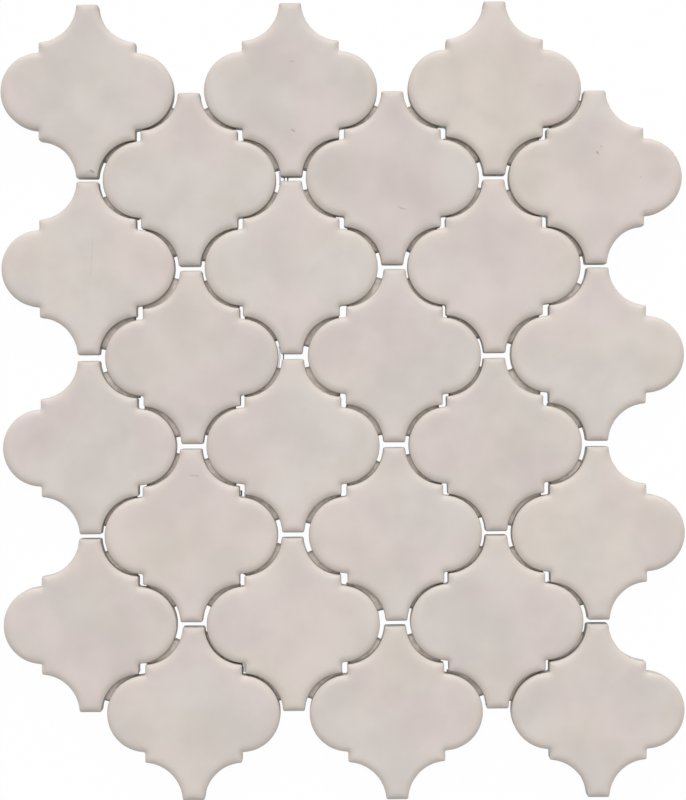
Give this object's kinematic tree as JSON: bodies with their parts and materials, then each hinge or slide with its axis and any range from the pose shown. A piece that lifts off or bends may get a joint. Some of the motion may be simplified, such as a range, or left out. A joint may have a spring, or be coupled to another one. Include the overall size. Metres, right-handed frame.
{
  "type": "arabesque mosaic tile sheet",
  "caption": "Mosaic sheet of staggered lantern-shaped (Moroccan arabesque) glazed ceramic tiles, bonded edge to edge by small plastic pads in the curved joints.",
  "frame": {"origin": "middle of the sheet, in the plane of the tiles' backs", "axes": "+Z out of the glazed faces (up when the sheet lies on its back), +Y up the columns of tiles, +X across the columns"},
  "size_m": [0.2698, 0.3154, 0.008],
  "materials": {
    "glazed_ceramic": "soft gloss",
    "bonding_plastic": "matte"
  },
  "bodies": {
    "root": {"tile_c1r1": "glazed_ceramic", "tile_c1r2": "glazed_ceramic", "tile_c1r3": "glazed_ceramic", "tile_c1r4": "glazed_ceramic", "tile_c2r1": "glazed_ceramic", "tile_c2r2": "glazed_ceramic", "tile_c2r3": "glazed_ceramic", "tile_c2r4": "glazed_ceramic", "tile_c3r1": "glazed_ceramic", "tile_c3r2": "glazed_ceramic", "tile_c3r3": "glazed_ceramic", "tile_c3r4": "glazed_ceramic", "tile_c4r1": "glazed_ceramic", "tile_c4r2": "glazed_ceramic", "tile_c4r3": "glazed_ceramic", "tile_c4r4": "glazed_ceramic", "tile_c5r1": "glazed_ceramic", "tile_c5r2": "glazed_ceramic", "tile_c5r3": "glazed_ceramic", "tile_c5r4": "glazed_ceramic", "tile_c6r1": "glazed_ceramic", "tile_c6r2": "glazed_ceramic", "tile_c6r3": "glazed_ceramic", "tile_c6r4": "glazed_ceramic", "bonding_pads_1": "bonding_plastic", "bonding_pads_2": "bonding_plastic", "bonding_pads_3": "bonding_plastic", "bonding_pads_4": "bonding_plastic", "bonding_pads_5": "bonding_plastic"}
  },
  "joints": []
}
